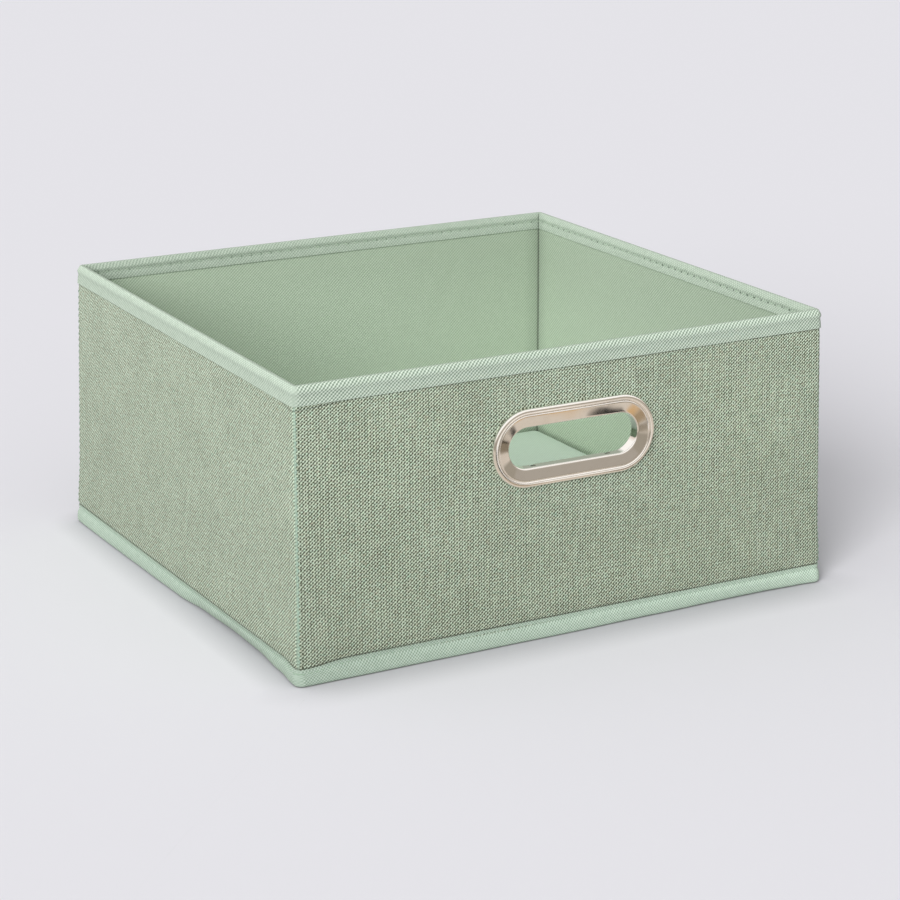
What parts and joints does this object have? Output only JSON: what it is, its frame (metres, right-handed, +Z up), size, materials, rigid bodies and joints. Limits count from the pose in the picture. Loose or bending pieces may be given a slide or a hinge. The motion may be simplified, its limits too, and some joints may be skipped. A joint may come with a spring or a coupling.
{
  "type": "fabric storage basket",
  "caption": "Low open fabric basket with stiffened walls, bound rim and hem, a lift-out base panel and an oval metal-framed hand slot in the front.",
  "frame": {"origin": "middle of the basket's footprint, on the surface that its hem stands on", "axes": "+Z up out of the open top; -Y out of the front wall, the one with the hand slot; +X to the right of someone who faces that wall"},
  "size_m": [0.3062, 0.2862, 0.15],
  "materials": {
    "woven_cover": "slubby plain weave, sage green",
    "lining": "matt non-woven, sage green",
    "binding_tape": "matt non-woven tape, pale sage green",
    "wall_board": "grey-brown board",
    "base_board": "grey-brown board",
    "plated_steel": "polished nickel plate"
  },
  "bodies": {
    "basket": {"front_cover": "woven_cover", "right_cover": "woven_cover", "back_cover": "woven_cover", "left_cover": "woven_cover", "front_board": "wall_board", "right_board": "wall_board", "back_board": "wall_board", "left_board": "wall_board", "front_lining": "lining", "right_lining": "lining", "back_lining": "lining", "left_lining": "lining", "bottom_panel": "lining", "top_binding": "binding_tape", "bottom_binding": "binding_tape", "handle_front_plate": "plated_steel", "handle_back_plate": "plated_steel"},
    "base_panel": {"base_board": "base_board", "base_board_cover": "lining"}
  },
  "joints": [
    {"name": "base_panel_lift", "type": "slide", "parent": "basket", "child": "base_panel", "axis": [0, 0, 1], "range_m": [0, 0.17]}
  ]
}
